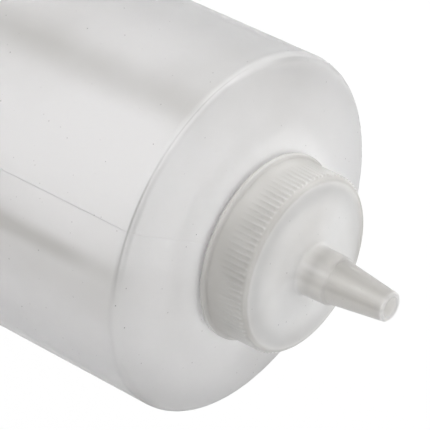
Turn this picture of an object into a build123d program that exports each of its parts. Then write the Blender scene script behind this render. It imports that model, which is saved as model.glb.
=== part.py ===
from build123d import *
from math import pi, sqrt
import os

# A round squeeze bottle for sauces: a blow-moulded LDPE bottle, the one-piece cap with a cone
# spout that screws onto its neck, and the flat seal ring between the two.
# Millimetres. The origin is on the bottle's axis, in the plane that it stands on, with +Z
# towards the spout. The two halves of the blow mould part in the XZ plane.

# Bottle: body and base
body_diameter = 86.0
body_wall = 1.0
straight_height = 186.0         # standing plane to the top of the straight wall
heel_height = 7.0               # the heel is a quarter of an ellipse
heel_reach = 6.0
standing_ring_width = 3.0
push_up_rise = 3.5              # the base is dished, so that it stands on its ring
pinch_off_length = 44.0         # the weld where the mould closes the tube of plastic
pinch_off_width = 1.2
pinch_off_height = 0.5

# Bottle: shoulder and neck
shoulder_corner_radius = 2.25
shoulder_slope = 18.0           # degrees, where the shoulder leaves its corner
shoulder_rise = 7.3             # top of the straight wall to the root of the neck
neck_height = 10.2              # root of the neck to its rim
neck_wall = 1.65
neck_root_chamfer = 0.8
rim_chamfer = 0.3

# Thread between neck and cap, which gives the neck and the cap's bore their sizes
thread_diameter = 37.3
thread_depth = 1.2              # the neck between its threads is smaller in radius by this much
thread_clearance = 0.3          # crest of the neck's thread to the bore of the cap

# Seal ring
seal_thickness = 1.0
seal_clearance = 0.3            # to the plug inside it and to the cap around it

# Cap: flange and skirt
skirt_wall = 1.75               # bore to skirt at the crown
skirt_flare = 0.7               # the skirt is larger in radius by this much at the flange
flange_gap = 0.4                # root of the neck to the underside of the flange
flange_reach = 0.85             # how far the flange stands out from the skirt
flange_thickness = 1.2
flange_chamfer = 0.3
bore_draft = 0.5                # the bore is larger in radius by this much at its mouth
bore_mouth_chamfer = 0.4

# Cap: grip ridges
grip_count = 96
grip_height = 0.525             # of a ridge above the skirt at the crown
grip_sunk_depth = 0.5           # how far a ridge's root reaches under the skirt there
grip_top_margin = 0.6           # end of the ridges to the edge of the crown
grip_end_slope = 0.4            # a ridge's upper end leans back by this much
grip_base_share = 0.72          # of the pitch from one ridge to the next
grip_crest_share = 0.24

# Cap: crown, seat and plug
crown_edge_wall = 0.75          # seat to the edge of the crown
crown_rise = 2.1                # edge of the crown to its middle
crown_chamfer = 0.35
crown_wall = 1.5
plug_clearance = 0.3            # plug to the bore of the neck
plug_wall = 1.0
plug_depth = 3.0
plug_chamfer = 0.3

# Cap: spout
collar_base_diameter = 12.0
collar_top_diameter = 11.4
collar_height = 7.0             # middle of the crown to the step
collar_root_chamfer = 0.45
collar_chamfer = 0.2
step_rise = 0.4                 # the step leans by this much from the collar to the cone
cone_base_diameter = 10.4
cone_height = 14.4
tip_diameter = 6.8
tip_bore_diameter = 4.5
tip_bore_length = 3.0
tip_chamfer = 0.25
spout_wall = 1.2
passage_mouth_diameter = 9.2    # the passage where it leaves the inside of the crown
passage_mouth_chamfer = 0.6

# Places worked out from the sizes above
body_radius = body_diameter / 2
ring_outer = body_radius - heel_reach
ring_inner = ring_outer - standing_ring_width
neck_radius = thread_diameter / 2 - thread_depth
neck_bore_radius = neck_radius - neck_wall
neck_root_height = straight_height + shoulder_rise
rim_height = neck_root_height + neck_height
seat_height = rim_height + seal_thickness
cap_base = neck_root_height + flange_gap
crown_edge_height = seat_height + crown_edge_wall
crown_height = crown_edge_height + crown_rise
collar_top_height = crown_height + collar_height
tip_height = collar_top_height + cone_height
cap_bore_radius = thread_diameter / 2 + thread_clearance
skirt_top_radius = cap_bore_radius + skirt_wall
skirt_bottom_radius = skirt_top_radius + skirt_flare
flange_radius = skirt_bottom_radius + flange_reach
plug_radius = neck_bore_radius - plug_clearance
tip_bore_radius = tip_bore_diameter / 2


def half_section(*points):
    """A face in the XZ plane with straight sides, from its (radius, height) corners."""
    return Plane.XZ * make_face(Polyline(*points, close=True))


def chamfered(section, corners):
    """The half section with each (radius, height, chamfer) corner of the list broken."""
    face = section.face()
    for radius, height, size in corners:
        corner = face.vertices().sort_by_distance((radius, 0, height))[0]
        face = face.chamfer_2d(size, size, [corner])
    return face


def dome_drop(radius, reach, rise):
    """How far a dome of this reach and rise has fallen at this radius."""
    dome_radius = (reach**2 + rise**2) / (2 * rise)
    return dome_radius - sqrt(dome_radius**2 - radius**2)


def bottle_outline(inset, upper_radius):
    """The bottle's half section, closed on its axis, with the body drawn in by the inset."""
    with BuildSketch(Plane.XZ) as section:
        with BuildLine():
            Line((0, rim_height), (0, push_up_rise + inset))
            dish = TangentArc((0, push_up_rise + inset), (ring_inner, inset), tangent=(1, 0))
            Line(dish @ 1, (ring_outer, inset))
            heel = EllipticalCenterArc(
                (ring_outer, heel_height), heel_reach - inset, heel_height - inset, -90, arc_size=90
            )
            wall = Line(heel @ 1, (body_radius - inset, straight_height))
            corner = JernArc(wall @ 1, (0, 1), shoulder_corner_radius - inset, 90 - shoulder_slope)
            root = (upper_radius, neck_root_height - inset)
            TangentArc(corner @ 1, root, tangent=corner % 1)
            neck = Line(root, (upper_radius, rim_height))
            Line(neck @ 1, (0, rim_height))
        make_face()
    return section.sketch


def pinch_off():
    """The low weld across the dished base, in the plane where the mould's halves meet."""
    half_length = pinch_off_length / 2
    with BuildSketch(Plane.XZ) as section:
        with BuildLine():
            top = push_up_rise + body_wall / 2
            low = push_up_rise - pinch_off_height
            end_drop = dome_drop(half_length, ring_inner, push_up_rise)
            left = Line((-half_length, top - end_drop), (-half_length, low - end_drop))
            under = ThreePointArc(left @ 1, (0, low), (half_length, low - end_drop))
            right = Line(under @ 1, (half_length, top - end_drop))
            ThreePointArc(right @ 1, (0, top), left @ 0)
        make_face()
    return extrude(section.sketch, pinch_off_width / 2, both=True)


def bottle():
    """The blow-moulded bottle: base, straight wall, shoulder and neck in one thin wall."""
    wall = bottle_outline(0, neck_radius) - bottle_outline(body_wall, neck_bore_radius)
    section = chamfered(wall, [
        (neck_radius, neck_root_height, neck_root_chamfer),
        (neck_bore_radius, neck_root_height - body_wall, neck_root_chamfer),
        (neck_radius, rim_height, rim_chamfer),
        (neck_bore_radius, rim_height, rim_chamfer),
    ])
    return revolve(section, Axis.Z) + pinch_off()


def seal_ring():
    """The flat washer that the cap's seat presses onto the rim of the neck."""
    inner = plug_radius + seal_clearance
    outer = cap_bore_radius - seal_clearance
    return revolve(half_section(
        (inner, rim_height), (outer, rim_height), (outer, seat_height), (inner, seat_height),
    ), Axis.Z)


def cap_envelope():
    """The outside of flange, skirt and crown, closed on the axis."""
    flange_top = cap_base + flange_thickness
    with BuildSketch(Plane.XZ) as section:
        with BuildLine():
            crown = TangentArc(
                (0, crown_height), (skirt_top_radius, crown_edge_height), tangent=(1, 0)
            )
            Polyline(
                crown @ 1,
                (skirt_bottom_radius, flange_top),
                (flange_radius, flange_top),
                (flange_radius, cap_base),
                (0, cap_base),
                (0, crown_height),
            )
        make_face()
    return section.sketch


def spout_envelope():
    """The outside of the spout: collar, step and cone, closed on the axis."""
    return half_section(
        (0, crown_edge_height),
        (collar_base_diameter / 2, crown_edge_height),
        (collar_top_diameter / 2, collar_top_height),
        (cone_base_diameter / 2, collar_top_height + step_rise),
        (tip_diameter / 2, tip_height),
        (0, tip_height),
    )


def cap_hollow():
    """The inside of the cap: drafted bore, seat, the plug that hangs from it, and the crown."""
    plug_inner = plug_radius - plug_wall
    plug_end = seat_height - plug_depth
    crown_inside = crown_height - crown_wall
    crown_foot = crown_inside - dome_drop(plug_inner, skirt_top_radius, crown_rise)
    with BuildSketch(Plane.XZ) as section:
        with BuildLine():
            crown = TangentArc((0, crown_inside), (plug_inner, crown_foot), tangent=(1, 0))
            Polyline(
                crown @ 1,
                (plug_inner, plug_end),
                (plug_radius, plug_end),
                (plug_radius, seat_height),
                (cap_bore_radius, seat_height),
                (cap_bore_radius + bore_draft, cap_base),
                (0, cap_base),
                (0, crown_inside),
            )
        make_face()
    return section.sketch


def passage():
    """The way through the spout, which narrows to the straight bore of its tip."""
    bore_foot = tip_height - tip_bore_length
    return half_section(
        (0, seat_height),
        (passage_mouth_diameter / 2, seat_height),
        (passage_mouth_diameter / 2, crown_height),
        (cone_base_diameter / 2 - spout_wall, collar_top_height),
        (tip_bore_radius, bore_foot),
        (tip_bore_radius, tip_height),
        (0, tip_height),
    )


def cap_corners():
    """The corners of the cap's half section that are broken, each with its chamfer."""
    flange_top = cap_base + flange_thickness
    collar_radius = collar_base_diameter / 2
    collar_foot = crown_height - dome_drop(collar_radius, skirt_top_radius, crown_rise)
    mouth_radius = passage_mouth_diameter / 2
    mouth_drop = dome_drop(mouth_radius, skirt_top_radius, crown_rise)
    plug_end = seat_height - plug_depth
    return [
        (flange_radius, cap_base, flange_chamfer),
        (flange_radius, flange_top, flange_chamfer),
        (skirt_bottom_radius, flange_top, flange_chamfer),
        (skirt_top_radius, crown_edge_height, crown_chamfer),
        (collar_radius, collar_foot, collar_root_chamfer),
        (collar_top_diameter / 2, collar_top_height, collar_chamfer),
        (tip_diameter / 2, tip_height, tip_chamfer),
        (tip_bore_radius, tip_height, tip_chamfer),
        (mouth_radius, crown_height - crown_wall - mouth_drop, passage_mouth_chamfer),
        (plug_radius - plug_wall, plug_end, plug_chamfer),
        (plug_radius, plug_end, plug_chamfer),
        (cap_bore_radius + bore_draft, cap_base, bore_mouth_chamfer),
    ]


def grip_ridge():
    """One grip ridge, on the +Y side of the skirt. It fades out where the skirt widens."""
    pitch = 2 * pi * skirt_top_radius / grip_count
    base_width = pitch * grip_base_share
    crest_width = pitch * grip_crest_share
    root_radius = skirt_top_radius - grip_sunk_depth
    depth = grip_sunk_depth + grip_height
    foot = cap_base + flange_thickness
    length = crown_edge_height - grip_top_margin - foot
    ridge = Wedge(
        base_width, depth, length,
        (base_width - crest_width) / 2, 0,
        (base_width + crest_width) / 2, length - grip_end_slope,
        align=Align.MIN,
    )
    return Pos(-base_width / 2, root_radius, foot) * ridge


def cap():
    """The moulded cap: flange, ridged skirt, crown, plug and spout."""
    section = cap_envelope() + spout_envelope() - cap_hollow() - passage()
    shell = revolve(chamfered(section, cap_corners()), Axis.Z)
    return shell + PolarLocations(0, grip_count) * grip_ridge()


os.makedirs("parts", exist_ok=True)
for name, piece in {"bottle": bottle(), "seal_ring": seal_ring(), "cap": cap()}.items():
    export_step(piece, f"parts/{name}.step")
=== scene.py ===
import bpy
from math import cos, pi, radians, sin, tau
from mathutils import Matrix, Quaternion, Vector


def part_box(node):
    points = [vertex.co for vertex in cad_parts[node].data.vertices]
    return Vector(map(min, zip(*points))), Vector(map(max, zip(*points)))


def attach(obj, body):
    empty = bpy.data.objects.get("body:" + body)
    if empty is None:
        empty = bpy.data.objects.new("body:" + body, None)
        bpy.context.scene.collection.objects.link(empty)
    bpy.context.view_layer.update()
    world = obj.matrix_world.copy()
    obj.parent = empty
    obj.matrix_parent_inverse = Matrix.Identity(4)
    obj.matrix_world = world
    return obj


# A squeeze bottle for sauces in translucent natural polyethylene: a blown bottle, a moulded cap
# with a cone spout that screws onto its neck, and a foam seal ring between the two.
# Metres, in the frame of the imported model: the bottle stands on z = 0 with its spout upwards.
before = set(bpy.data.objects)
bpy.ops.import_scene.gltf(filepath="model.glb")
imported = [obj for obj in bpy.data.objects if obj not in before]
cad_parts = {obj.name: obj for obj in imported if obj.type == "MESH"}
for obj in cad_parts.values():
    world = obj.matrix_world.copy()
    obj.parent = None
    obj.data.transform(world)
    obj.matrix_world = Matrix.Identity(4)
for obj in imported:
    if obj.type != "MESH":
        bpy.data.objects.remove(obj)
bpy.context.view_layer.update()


# Camera. A long lens, from above the cap, turned far over, so that the bottle lies aslant with
# its spout towards the lower right.
mm = 0.001
camera_target, camera_distance = Vector((-0.3, -1.3, 178.5)) * mm, 671.5 * mm
camera_azimuth, camera_elevation, camera_roll = -13.5, 32.24, 115.98
sensor_width, focal_length = 36, 251.8  # Blender counts these two in millimetres.
nearest, farthest = 0.01, 20


def stand(name, device, target, azimuth, elevation, distance, roll=0):
    """Puts a camera or a lamp at this distance from its target, which it faces. The angles are in
    degrees."""
    azimuth, elevation = radians(azimuth), radians(elevation)
    outward = Vector((
        cos(elevation) * cos(azimuth), cos(elevation) * sin(azimuth), sin(elevation),
    ))
    holder = bpy.data.objects.new(name, device)
    holder.location = target + outward * distance
    holder.rotation_mode = "QUATERNION"
    holder.rotation_quaternion = (
        outward.to_track_quat("Z", "Y") @ Quaternion((0, 0, 1), radians(roll))
    )
    bpy.context.scene.collection.objects.link(holder)
    return holder


lens = bpy.data.cameras.new("camera")
lens.sensor_width, lens.lens = sensor_width, focal_length
lens.clip_start, lens.clip_end = nearest, farthest
bpy.context.scene.camera = stand(
    "camera", lens, camera_target, camera_azimuth, camera_elevation, camera_distance, camera_roll
)


# Bottle. Low-density polyethylene, extruded as a tube and blown in a two-part mould. The mould
# leaves a fine parting line down each side. Soft bands along the bottle are painted shade and
# painted highlight, partly for the tube's uneven stretch; fine lines round its corner are painted
# shade and highlight; and by the neck the tube stays thick.
blown_milky, blown_clear, blown_speck = "FDFCFC", "D0CFCC", "62605D"
blown_milkiness = 0.86
ldpe_ior, blown_scatter_depth = 1.51, 3 * mm
wall_roughness, corner_roughness = 0.3, 0.6
wall_clearness, corner_clearness = 0.85, 0.7
shoulder_clearness, neck_root_clearness = 0.76, 0.25
corner_start, corner_middle, corner_end = 184.5 * mm, 187 * mm, 190 * mm
neck_root_start, neck_root_end = 191.5 * mm, 192.9 * mm
base_end, wall_start = 3 * mm, 20 * mm
streak_end, streak_full = 184 * mm, 168 * mm
parting_line_width, wall_line_height, shoulder_line_height = 0.3 * mm, 0.08 * mm, 0.036 * mm
cloud_size, cloud_detail, cloud_roughness, cloud_mean = 30 * mm, 3, 0.55, 0.5
ripple_size, ripple_detail, ripple_depth, ripple_strength = 8 * mm, 2, 0.2 * mm, 0.3
# Real specks of regrind are 0.1 to 0.2 mm wide. They are drawn up to twice as wide, to show.
speck_spacing, speck_radius, speck_rarity = 2.3 * mm, 0.22 * mm, 2
speck_core = speck_radius / 3
# Bands up the bottle, painted shade and highlight and partly uneven stretch: azimuth and half
# width in degrees, change of milkiness.
wall_stretch_and_shade_bands = [
    (-140, 16, -0.2),
    (-85, 18, 0.25),
    (-46, 12, -0.18),
    (-39, 11, -0.5),
    (-18, 20, 0.18),
    (14, 5, -0.2),
    (21, 20, -0.4),
    (50, 14, 0.32),
    (70, 11, -0.63),
    (105, 18, 0.2),
    (135, 14, -0.2),
    (170, 25, 0.2),
]
wall_stretch_and_shade_streaks = [(14, 5, -0.45)]
# Bands on the shoulder, painted shade and highlight and partly uneven stretch: azimuth and half
# width in degrees, change of milkiness.
shoulder_stretch_and_shade_bands = [
    (-160, 55, 0.12),
    (-85, 35, -0.25),
    (70, 60, 0.25),
]
# Lines round the corner, painted shade and painted highlight: colour, height, width, azimuth and
# half length in degrees, strength.
painted_shade_grey, painted_highlight_white = "8E8E8C", "FFFFFF"
corner_shade_and_highlight_lines = [
    (painted_shade_grey, 187.85 * mm, 0.9 * mm, -84, 18, 0.55),
    (painted_highlight_white, 187.6 * mm, 0.7 * mm, -44, 24, 0.8),
    (painted_shade_grey, 187.15 * mm, 0.5 * mm, -42, 28, 0.5),
    (painted_shade_grey, 187.1 * mm, 0.8 * mm, -6, 32, 0.9),
    (painted_shade_grey, 186.9 * mm, 1.6 * mm, 14, 16, 0.35),
    (painted_shade_grey, 187.2 * mm, 1 * mm, 150, 30, 0.6),
]


def linear(hex_colour):
    """An sRGB hex colour as linear red, green, blue and alpha."""
    parts = [int(hex_colour[i:i + 2], 16) / 255 for i in (0, 2, 4)]
    return [p / 12.92 if p <= 0.04045 else ((p + 0.055) / 1.055) ** 2.4 for p in parts] + [1]


def add(tree, kind, settings=None, inputs=None):
    """Adds a node. Its settings are set, and each input is linked to a socket or given a value."""
    node = tree.nodes.new("ShaderNode" + kind)
    for name, value in (settings or {}).items():
        setattr(node, name, value)
    for name, value in (inputs or {}).items():
        if isinstance(value, bpy.types.NodeSocket):
            tree.links.new(value, node.inputs[name])
        else:
            node.inputs[name].default_value = value
    return node


def natural_ldpe(name, roughness, clearness, scatter_depth):
    """Polyethylene in its natural colour: satin, milky, and some of the light goes through it."""
    material = bpy.data.materials.new(name)
    material.use_nodes = True
    shader = material.node_tree.nodes["Principled BSDF"]
    shader.inputs["Roughness"].default_value = roughness
    shader.inputs["IOR"].default_value = ldpe_ior
    shader.inputs["Transmission Weight"].default_value = clearness
    shader.inputs["Subsurface Weight"].default_value = 1
    shader.inputs["Subsurface Radius"].default_value = (1, 1, 1)
    shader.inputs["Subsurface Scale"].default_value = scatter_depth
    return material, material.node_tree, shader


def clouds(tree, place, milkiness):
    """This milkiness, with soft clouds in it where the plastic is a little milkier or clearer."""
    noise = add(tree, "TexNoise", {}, {
        "Vector": place, "Scale": 1 / cloud_size, "Detail": cloud_detail,
        "Roughness": cloud_roughness,
    })
    cloudy = add(tree, "Math", {"operation": "ADD"}, {0: noise.outputs["Fac"], 1: milkiness})
    return add(tree, "Math", {"operation": "SUBTRACT"}, {
        0: cloudy.outputs["Value"], 1: cloud_mean,
    }).outputs["Value"]


def speckled(tree, place, milkiness, clear, milky, speck_colour):
    """The plastic's colour at this milkiness, with specks of regrind in it, few of them dark."""
    body = add(tree, "MixRGB", {}, {
        "Fac": milkiness, "Color1": linear(clear), "Color2": linear(milky),
    })
    cells = add(tree, "TexVoronoi", {}, {"Vector": place, "Scale": 1 / speck_spacing})
    speck = add(tree, "MapRange", {"interpolation_type": "SMOOTHSTEP"}, {
        "Value": cells.outputs["Distance"],
        "From Min": speck_radius / speck_spacing, "From Max": speck_core / speck_spacing,
    })
    chance = add(tree, "SeparateColor", {}, {"Color": cells.outputs["Color"]})
    darkness = add(tree, "Math", {"operation": "POWER"}, {
        0: chance.outputs["Red"], 1: speck_rarity,
    })
    depth = add(tree, "Math", {"operation": "MULTIPLY"}, {
        0: speck.outputs["Result"], 1: darkness.outputs["Value"],
    })
    return add(tree, "MixRGB", {}, {
        "Fac": depth.outputs["Value"], "Color1": body.outputs["Color"],
        "Color2": linear(speck_colour),
    }).outputs["Color"]


def rippled(tree, place):
    """The faint waves that moulded polyethylene shows in its gloss."""
    waves = add(tree, "TexNoise", {}, {
        "Vector": place, "Scale": 1 / ripple_size, "Detail": ripple_detail,
    })
    return add(tree, "Bump", {}, {
        "Height": waves.outputs["Fac"], "Distance": ripple_depth, "Strength": ripple_strength,
    }).outputs["Normal"]


def near(tree, value, middle, reach, strength):
    """This strength at the middle, which fades to 0 at this distance from it."""
    off = add(tree, "Math", {"operation": "SUBTRACT"}, {0: value, 1: middle})
    either_way = add(tree, "Math", {"operation": "ABSOLUTE"}, {0: off.outputs["Value"]})
    return add(tree, "MapRange", {"interpolation_type": "SMOOTHSTEP"}, {
        "Value": either_way.outputs["Value"], "From Min": reach, "From Max": 0,
        "To Max": strength,
    }).outputs["Result"]


def azimuth_from(tree, axes, middle):
    """The azimuth round the bottle, counted from this one in degrees, from -pi to pi."""
    azimuth = add(tree, "Math", {"operation": "ARCTAN2"}, {0: axes["Y"], 1: axes["X"]})
    turned = add(tree, "Math", {"operation": "SUBTRACT"}, {
        0: azimuth.outputs["Value"], 1: radians(middle),
    })
    return add(tree, "Math", {"operation": "WRAP"}, {
        0: turned.outputs["Value"], 1: -pi, 2: pi,
    }).outputs["Value"]


def banded(tree, axes, milkiness):
    """The milkiness, changed by bands and streaks of painted shade and highlight up the bottle,
    partly for its uneven stretch, but not in its base.
    """
    total = 0
    for bands, none, full in (
        (wall_stretch_and_shade_bands, corner_end, corner_start),
        (wall_stretch_and_shade_streaks, streak_end, streak_full),
        (shoulder_stretch_and_shade_bands, corner_start, corner_end),
    ):
        share = add(tree, "MapRange", {"interpolation_type": "SMOOTHSTEP"}, {
            "Value": axes["Z"], "From Min": none, "From Max": full,
        })
        for middle, reach, change in bands:
            band = near(tree, azimuth_from(tree, axes, middle), 0, radians(reach), change)
            total = add(tree, "Math", {"operation": "MULTIPLY_ADD"}, {
                0: band, 1: share.outputs["Result"], 2: total,
            }).outputs["Value"]
    above_base = add(tree, "MapRange", {"interpolation_type": "SMOOTHSTEP"}, {
        "Value": axes["Z"], "From Min": base_end, "From Max": wall_start,
    })
    return add(tree, "Math", {"operation": "MULTIPLY_ADD"}, {
        0: total, 1: above_base.outputs["Result"], 2: milkiness,
    }).outputs["Value"]


def corner_lined(tree, axes, colour):
    """The colour with fine lines along the shoulder's corner: painted shade in grey and painted
    highlight in white."""
    for line_colour, line_height, width, middle, reach, strength in corner_shade_and_highlight_lines:
        line = near(tree, axes["Z"], line_height, width / 2, 1)
        along = near(tree, azimuth_from(tree, axes, middle), 0, radians(reach), strength)
        share = add(tree, "Math", {"operation": "MULTIPLY"}, {0: line, 1: along})
        colour = add(tree, "MixRGB", {}, {
            "Fac": share.outputs["Value"], "Color1": colour, "Color2": linear(line_colour),
        }).outputs["Color"]
    return colour


def along_bottle(tree, axes, wall, corner, shoulder, neck_root):
    """A value that has these sizes on the wall, in the shoulder's corner, on the shoulder and at
    the neck's root."""
    total = wall
    for start, end, change in (
        (corner_start, corner_middle, corner - wall),
        (corner_middle, corner_end, shoulder - corner),
        (neck_root_start, neck_root_end, neck_root - shoulder),
    ):
        step = add(tree, "MapRange", {"interpolation_type": "SMOOTHSTEP"}, {
            "Value": axes["Z"], "From Min": start, "From Max": end, "To Max": change,
        })
        total = add(tree, "Math", {"operation": "ADD"}, {0: total, 1: step.outputs["Result"]})
        total = total.outputs["Value"]
    return total


def parting_line(tree, axes, normal):
    """The fine ridge where the mould's halves met, in the XZ plane, lower above the wall."""
    lower = add(tree, "MapRange", {}, {
        "Value": axes["Z"], "From Min": corner_start, "From Max": corner_end,
        "To Min": wall_line_height, "To Max": shoulder_line_height,
    })
    return add(tree, "Bump", {}, {
        "Height": near(tree, axes["Y"], 0, parting_line_width / 2, 1),
        "Distance": lower.outputs["Result"], "Normal": normal,
    }).outputs["Normal"]


# Blown LDPE: its outside has the satin of the mould. The eye sees a soft gloss, and light that
# comes through two walls. Its colour carries painted shade and highlight in bands, partly for
# walls greyer where they are thin and milkier where they are thick.
blown_ldpe, blown_tree, blown_shader = natural_ldpe(
    "blown_ldpe", wall_roughness, wall_clearness, blown_scatter_depth
)
blown_place = add(blown_tree, "TexCoord").outputs["Object"]
blown_axes = add(blown_tree, "SeparateXYZ", {}, {"Vector": blown_place}).outputs
blown_cloudy = banded(blown_tree, blown_axes, clouds(blown_tree, blown_place, blown_milkiness))
blown_colour = corner_lined(blown_tree, blown_axes, speckled(
    blown_tree, blown_place, blown_cloudy, blown_clear, blown_milky, blown_speck
))
blown_tree.links.new(blown_colour, blown_shader.inputs["Base Color"])
blown_normal = parting_line(blown_tree, blown_axes, rippled(blown_tree, blown_place))
blown_tree.links.new(blown_normal, blown_shader.inputs["Normal"])
for socket, values in (
    (
        "Transmission Weight",
        (wall_clearness, corner_clearness, shoulder_clearness, neck_root_clearness),
    ),
    ("Roughness", (wall_roughness, corner_roughness, wall_roughness, wall_roughness)),
):
    blown_tree.links.new(
        along_bottle(blown_tree, blown_axes, *values), blown_shader.inputs[socket]
    )


def dress(node, material):
    """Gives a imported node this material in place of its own."""
    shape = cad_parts[node].data
    shape.materials.clear()
    shape.materials.append(material)


dress("bottle", blown_ldpe)


# Neck thread. One start of one and a half turns, blown in one piece with the neck. It runs out
# at both ends, so that the cap finds its way on.
neck_radius, neck_thread_reach = 17.45 * mm, 1.2 * mm
neck_thread_root, neck_thread_crest = 2.4 * mm, 1.2 * mm
neck_thread_turns, thread_pitch = 1.5, 4.233 * mm
rim_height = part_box("bottle")[1].z
thread_start_height = rim_height - 8.1 * mm
thread_sunk = 0.15 * mm
run_out, thread_edge = radians(25), radians(35)
steps_per_turn = 72


def helix_ridge(name, base_radius, reach, root_width, crest_width, start, turns, drop, material):
    """A screw thread: a trapezoid swept up the helix, which fades out at its ends.
    base_radius gives the radius at a height. A negative reach makes an internal thread."""
    inward = -1 if reach < 0 else 1
    points, faces = [], []
    steps = round(turns * steps_per_turn)
    for i in range(steps + 1):
        angle = start + tau * i / steps_per_turn
        height = thread_start_height + thread_pitch * angle / tau - drop
        from_end = min(i, steps - i) * tau / steps_per_turn
        fade = min(1, from_end / run_out)
        fade = fade * fade * (3 - 2 * fade)
        profile = [
            (-inward * thread_sunk, -root_width / 2),
            (0, -root_width / 2),
            (reach * fade, -crest_width / 2),
            (reach * fade, crest_width / 2),
            (0, root_width / 2),
            (-inward * thread_sunk, root_width / 2),
        ]
        for out, up in profile:
            radius = base_radius(height + up) + out
            points.append((radius * cos(angle), radius * sin(angle), height + up))
    corners = len(profile)
    for i in range(steps):
        for k in range(corners):
            here, beside = i * corners + k, i * corners + (k + 1) % corners
            faces.append((here, beside, beside + corners, here + corners))
    faces.append(tuple(range(corners))[::-1])
    faces.append(tuple(steps * corners + k for k in range(corners)))
    if inward > 0:
        faces = [face[::-1] for face in faces]
    mesh = bpy.data.meshes.new(name)
    mesh.from_pydata(points, [], faces)
    mesh.shade_smooth()
    mesh.set_sharp_from_angle(angle=thread_edge)
    mesh.materials.append(material)
    piece = bpy.data.objects.new(name, mesh)
    bpy.context.scene.collection.objects.link(piece)
    return piece


neck_thread = helix_ridge(
    "neck_thread", lambda height: neck_radius, neck_thread_reach,
    neck_thread_root, neck_thread_crest, 0, neck_thread_turns, 0, blown_ldpe,
)
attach(neck_thread, "bottle")


# Cap. The same plastic, injected into a finely textured mould, and screwed onto the neck. Its
# crown is milky, its skirt has painted shade that makes it greyer over the neck and the threads,
# and its spout is clearer and glossier, because that part of the mould was polished.
moulded_milky, moulded_clear, moulded_speck = "FDFBF8", "A6A4A0", "B4B2AF"
moulded_scatter_depth = 6 * mm
moulded_roughness, spout_roughness = 0.6, 0.28
moulded_clearness, spout_clearness, lip_clearness = 0.25, 0.68, 0.5
# The milkiness of each zone is partly painted shade and painted light, not only the plastic's own
# tone.
flange_shaded_milkiness, skirt_shaded_milkiness, chamfer_shaded_milkiness = 0.38, 0.47, 0.27
edge_shaded_milkiness, crown_milkiness, spout_root_lit_milkiness = 0.72, 0.92, 1
collar_milkiness, cone_milkiness, lip_milkiness = 0.8, 0.66, 0.88
cap_edge_rounding, spout_edge_rounding, rounding_samples = 0.8 * mm, 0.12 * mm, 6
cap_base, tip_height = (corner.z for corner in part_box("cap"))
crown_edge_height = cap_base + 11.55 * mm
crown_height = tip_height - 21.4 * mm
collar_height = tip_height - 14.4 * mm
lip_height = tip_height - 1 * mm
chamfer_start, chamfer_end = crown_edge_height - 1.12 * mm, crown_edge_height - 0.32 * mm
crown_edge_radius, rim_outer_radius, rim_inner_radius = 20.3 * mm, 19.5 * mm, 17.1 * mm
crown_middle_radius, spout_root_outer, spout_root_inner = 12 * mm, 11.5 * mm, 8 * mm
spout_blend, collar_blend_end = 1.2 * mm, 3.6 * mm

moulded_ldpe, moulded_tree, moulded_shader = natural_ldpe(
    "moulded_ldpe", moulded_roughness, moulded_clearness, moulded_scatter_depth
)
moulded_place = add(moulded_tree, "TexCoord").outputs["Object"]
moulded_axes = add(moulded_tree, "SeparateXYZ", {}, {"Vector": moulded_place}).outputs
cap_up = moulded_axes["Z"]
cap_flat = add(moulded_tree, "VectorMath", {"operation": "MULTIPLY"}, {
    0: moulded_place, 1: (1, 1, 0),
})
cap_out = add(moulded_tree, "VectorMath", {"operation": "LENGTH"}, {
    0: cap_flat.outputs["Vector"],
}).outputs["Value"]


def moulded_step(value, start, end, before, after):
    """Goes smoothly from one value before this stretch of the cap to another after it."""
    return add(moulded_tree, "MapRange", {"interpolation_type": "SMOOTHSTEP"}, {
        "Value": value, "From Min": start, "From Max": end, "To Min": before, "To Max": after,
    }).outputs["Result"]


def moulded_sum(*values):
    """The sum of some sockets or numbers."""
    total = values[0]
    for value in values[1:]:
        total = add(moulded_tree, "Math", {"operation": "ADD"}, {0: total, 1: value})
        total = total.outputs["Value"]
    return total


to_chamfer = (cap_up, chamfer_start, chamfer_end)
past_chamfer = (cap_out, crown_edge_radius, rim_outer_radius)
to_middle = (cap_out, crown_edge_radius, crown_middle_radius)
to_spout_root = (cap_out, spout_root_outer, spout_root_inner)
to_collar = (cap_up, crown_height - spout_blend, crown_height + spout_blend)
up_collar = (cap_up, crown_height - spout_blend, crown_height + collar_blend_end)
to_cone = (cap_up, collar_height - spout_blend, collar_height + spout_blend)
to_lip = (cap_up, lip_height, tip_height)
on_skirt = moulded_step(*to_chamfer, 1, 0)
on_rim = moulded_step(cap_out, rim_inner_radius, rim_outer_radius, 0, 1)
on_crown = moulded_step(*to_middle, 0, 1)
on_spout = moulded_step(*to_collar, 0, 1)
on_collar = moulded_step(*up_collar, 0, 1)
on_cone = moulded_step(*to_cone, 0, 1)
# Streaks along the cap, painted shade and painted highlight: zone, azimuth and half width in
# degrees, change of milkiness.
shade_and_highlight_streaks = [
    (on_skirt, -98, 45, -0.2),
    (on_skirt, 8, 35, -0.16),
    (on_rim, -160, 100, -0.4),
    (on_crown, -66, 45, -0.22),
    (on_spout, 14, 13, -0.2),
    (on_collar, -14, 11, 0.3),
    (on_collar, -44, 16, -0.15),
    (on_cone, -14, 11, -0.3),
    (on_cone, -85, 45, -0.1),
]


def streaked(value):
    """The value with the soft streaks of painted shade and highlight along the cap."""
    for zone, middle, reach, change in shade_and_highlight_streaks:
        turned = azimuth_from(moulded_tree, moulded_axes, middle)
        value = add(moulded_tree, "Math", {"operation": "MULTIPLY_ADD"}, {
            0: near(moulded_tree, turned, 0, radians(reach), change), 1: zone, 2: value,
        }).outputs["Value"]
    return value
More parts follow.
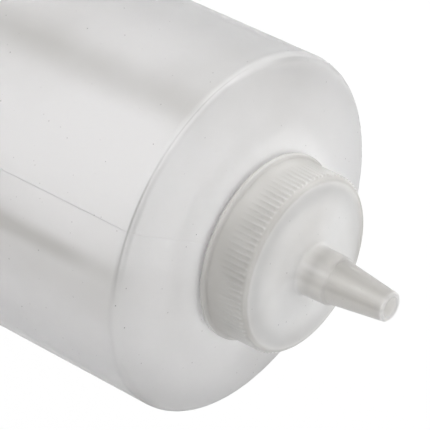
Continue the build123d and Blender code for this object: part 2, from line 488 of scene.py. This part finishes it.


# Moulded LDPE: satin off a spark-eroded mould, with faint ripples, and all edges a little
# rounded. Its colour is a milky white with painted shade: grey where the plastic is backed by
# the neck, darker by the flange and round the crown's edge, and lighter at the spout's root.
moulded_milkiness_and_shade = streaked(moulded_sum(
    moulded_step(cap_up, cap_base, crown_edge_height, flange_shaded_milkiness, skirt_shaded_milkiness),
    moulded_step(*to_chamfer, 0, chamfer_shaded_milkiness - skirt_shaded_milkiness),
    moulded_step(*past_chamfer, 0, edge_shaded_milkiness - chamfer_shaded_milkiness),
    moulded_step(*to_middle, 0, crown_milkiness - edge_shaded_milkiness),
    moulded_step(*to_spout_root, 0, spout_root_lit_milkiness - crown_milkiness),
    moulded_step(*up_collar, 0, collar_milkiness - spout_root_lit_milkiness),
    moulded_step(*to_cone, 0, cone_milkiness - collar_milkiness),
    moulded_step(*to_lip, 0, lip_milkiness - cone_milkiness),
))
moulded_colour = speckled(
    moulded_tree, moulded_place, clouds(moulded_tree, moulded_place, moulded_milkiness_and_shade),
    moulded_clear, moulded_milky, moulded_speck,
)
moulded_tree.links.new(moulded_colour, moulded_shader.inputs["Base Color"])
moulded_tree.links.new(
    moulded_sum(
        moulded_step(*up_collar, moulded_clearness, spout_clearness),
        moulded_step(*to_lip, 0, lip_clearness - spout_clearness),
    ),
    moulded_shader.inputs["Transmission Weight"],
)
moulded_tree.links.new(
    moulded_step(*to_collar, moulded_roughness, spout_roughness),
    moulded_shader.inputs["Roughness"],
)
moulded_rounding = add(moulded_tree, "Bevel", {"samples": rounding_samples}, {
    "Radius": moulded_step(*to_collar, cap_edge_rounding, spout_edge_rounding),
    "Normal": rippled(moulded_tree, moulded_place),
})
moulded_tree.links.new(moulded_rounding.outputs["Normal"], moulded_shader.inputs["Normal"])
dress("cap", moulded_ldpe)


# Cap thread. It is moulded in the cap's bore and bears on the neck thread from below. The core
# that forms it is unscrewed from the cap before the mould opens.
cap_mouth_radius, cap_seat_radius = 19.45 * mm, 18.95 * mm
seat_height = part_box("seal_ring")[1].z
cap_thread_reach = 1.1 * mm
cap_thread_root, cap_thread_crest = 2.0 * mm, 1.0 * mm
cap_thread_start, cap_thread_turns = radians(115), 1.15
cap_thread_drop = 1.75 * mm


def cap_bore(height):
    """The radius of the cap's drafted bore at a height."""
    share = (height - cap_base) / (seat_height - cap_base)
    return cap_mouth_radius + (cap_seat_radius - cap_mouth_radius) * share


cap_thread = helix_ridge(
    "cap_thread", cap_bore, -cap_thread_reach, cap_thread_root, cap_thread_crest,
    cap_thread_start, cap_thread_turns, cap_thread_drop, moulded_ldpe,
)
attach(cap_thread, "cap")


# Seal ring. A washer die-cut from closed-cell polyethylene foam, that lies loose in the top of
# the cap. Foamed PE is matt white to the eye, with a fine grain from its cut cells.
foam_white, foam_roughness = "F1F1EE", 0.8
foam_cell, foam_cell_depth, foam_grain = 0.35 * mm, 0.1 * mm, 0.6

seal_foam = bpy.data.materials.new("seal_foam")
seal_foam.use_nodes = True
foam_tree = seal_foam.node_tree
foam_shader = foam_tree.nodes["Principled BSDF"]
foam_shader.inputs["Base Color"].default_value = linear(foam_white)
foam_shader.inputs["Roughness"].default_value = foam_roughness
foam_place = add(foam_tree, "TexCoord").outputs["Object"]
foam_cells = add(foam_tree, "TexVoronoi", {}, {"Vector": foam_place, "Scale": 1 / foam_cell})
foam_skin = add(foam_tree, "Bump", {}, {
    "Height": foam_cells.outputs["Distance"], "Distance": foam_cell_depth,
    "Strength": foam_grain,
})
foam_tree.links.new(foam_skin.outputs["Normal"], foam_shader.inputs["Normal"])
dress("seal_ring", seal_foam)


# Studio. A floor of matt white paint and white surroundings. To the camera, and to what the
# plastic shows by gloss or through its wall, both are plain white.
plain_white, floor_white = "FFFFFF", "F2F2F2"
floor_half, floor_drop = 3.0, 0.02 * mm
floor_plain_share = 0.8  # The rest is lit paint, which keeps the bottle's shadow.
surroundings_light = 0.9

floor_mesh = bpy.data.meshes.new("floor")
floor_mesh.from_pydata(
    [(-floor_half, -floor_half, 0), (floor_half, -floor_half, 0),
     (floor_half, floor_half, 0), (-floor_half, floor_half, 0)],
    [], [(0, 1, 2, 3)],
)
floor = bpy.data.objects.new("floor", floor_mesh)
floor.location.z = -floor_drop
bpy.context.scene.collection.objects.link(floor)


def seen_white(tree):
    """1 where a ray comes from the camera, off gloss or through the plastic, and otherwise 0."""
    rays = add(tree, "LightPath").outputs
    either = add(tree, "Math", {"operation": "MAXIMUM"}, {
        0: rays["Is Camera Ray"], 1: rays["Is Glossy Ray"],
    })
    return add(tree, "Math", {"operation": "MAXIMUM"}, {
        0: either.outputs["Value"], 1: rays["Is Transmission Ray"],
    }).outputs["Value"]


floor_paint = bpy.data.materials.new("floor_paint")
floor_paint.use_nodes = True
floor_tree = floor_paint.node_tree
floor_tree.nodes.remove(floor_tree.nodes["Principled BSDF"])
lit_paint = add(floor_tree, "BsdfDiffuse", {}, {"Color": linear(floor_white)})
plain_floor = add(floor_tree, "Emission", {}, {"Color": linear(plain_white), "Strength": 1})
floor_share = add(floor_tree, "Math", {"operation": "MULTIPLY"}, {
    0: seen_white(floor_tree), 1: floor_plain_share,
})
floor_mix = add(floor_tree, "MixShader", {}, {
    "Fac": floor_share.outputs["Value"],
    1: lit_paint.outputs["BSDF"], 2: plain_floor.outputs["Emission"],
})
floor_tree.links.new(
    floor_mix.outputs["Shader"], floor_tree.nodes["Material Output"].inputs["Surface"]
)
floor_mesh.materials.append(floor_paint)

world = bpy.data.worlds.new("surroundings")
world.use_nodes = True
bpy.context.scene.world = world
sky = world.node_tree
soft_sky = sky.nodes["Background"]
soft_sky.inputs["Color"].default_value = linear(plain_white)
soft_sky.inputs["Strength"].default_value = surroundings_light
plain_sky = add(sky, "Background", {}, {"Color": linear(plain_white), "Strength": 1})
sky_mix = add(sky, "MixShader", {}, {
    "Fac": seen_white(sky), 1: soft_sky.outputs["Background"], 2: plain_sky.outputs["Background"],
})
sky.links.new(sky_mix.outputs["Shader"], sky.nodes["World Output"].inputs["Surface"])


# Lamps. Three round softboxes: a low one at the side, a high one behind, and a small one in
# front. They give the plastic its soft gloss and shade.
lamp_aim, lamp_distance = Vector((0, 0, 120)) * mm, 0.9
lamps = {
    "side": {"azimuth": -90, "elevation": 12, "width": 1.0, "watts": 5},
    "back": {"azimuth": -160, "elevation": 35, "width": 1.2, "watts": 2.1},
    "front": {"azimuth": -22, "elevation": 4, "width": 0.4, "watts": 2},
}
for name, lamp in lamps.items():
    light = bpy.data.lights.new(name, "AREA")
    light.shape = "DISK"
    light.size = lamp["width"]
    light.energy = lamp["watts"]
    stand(name, light, lamp_aim, lamp["azimuth"], lamp["elevation"], lamp_distance)

bpy.context.scene.view_settings.view_transform = "Standard"
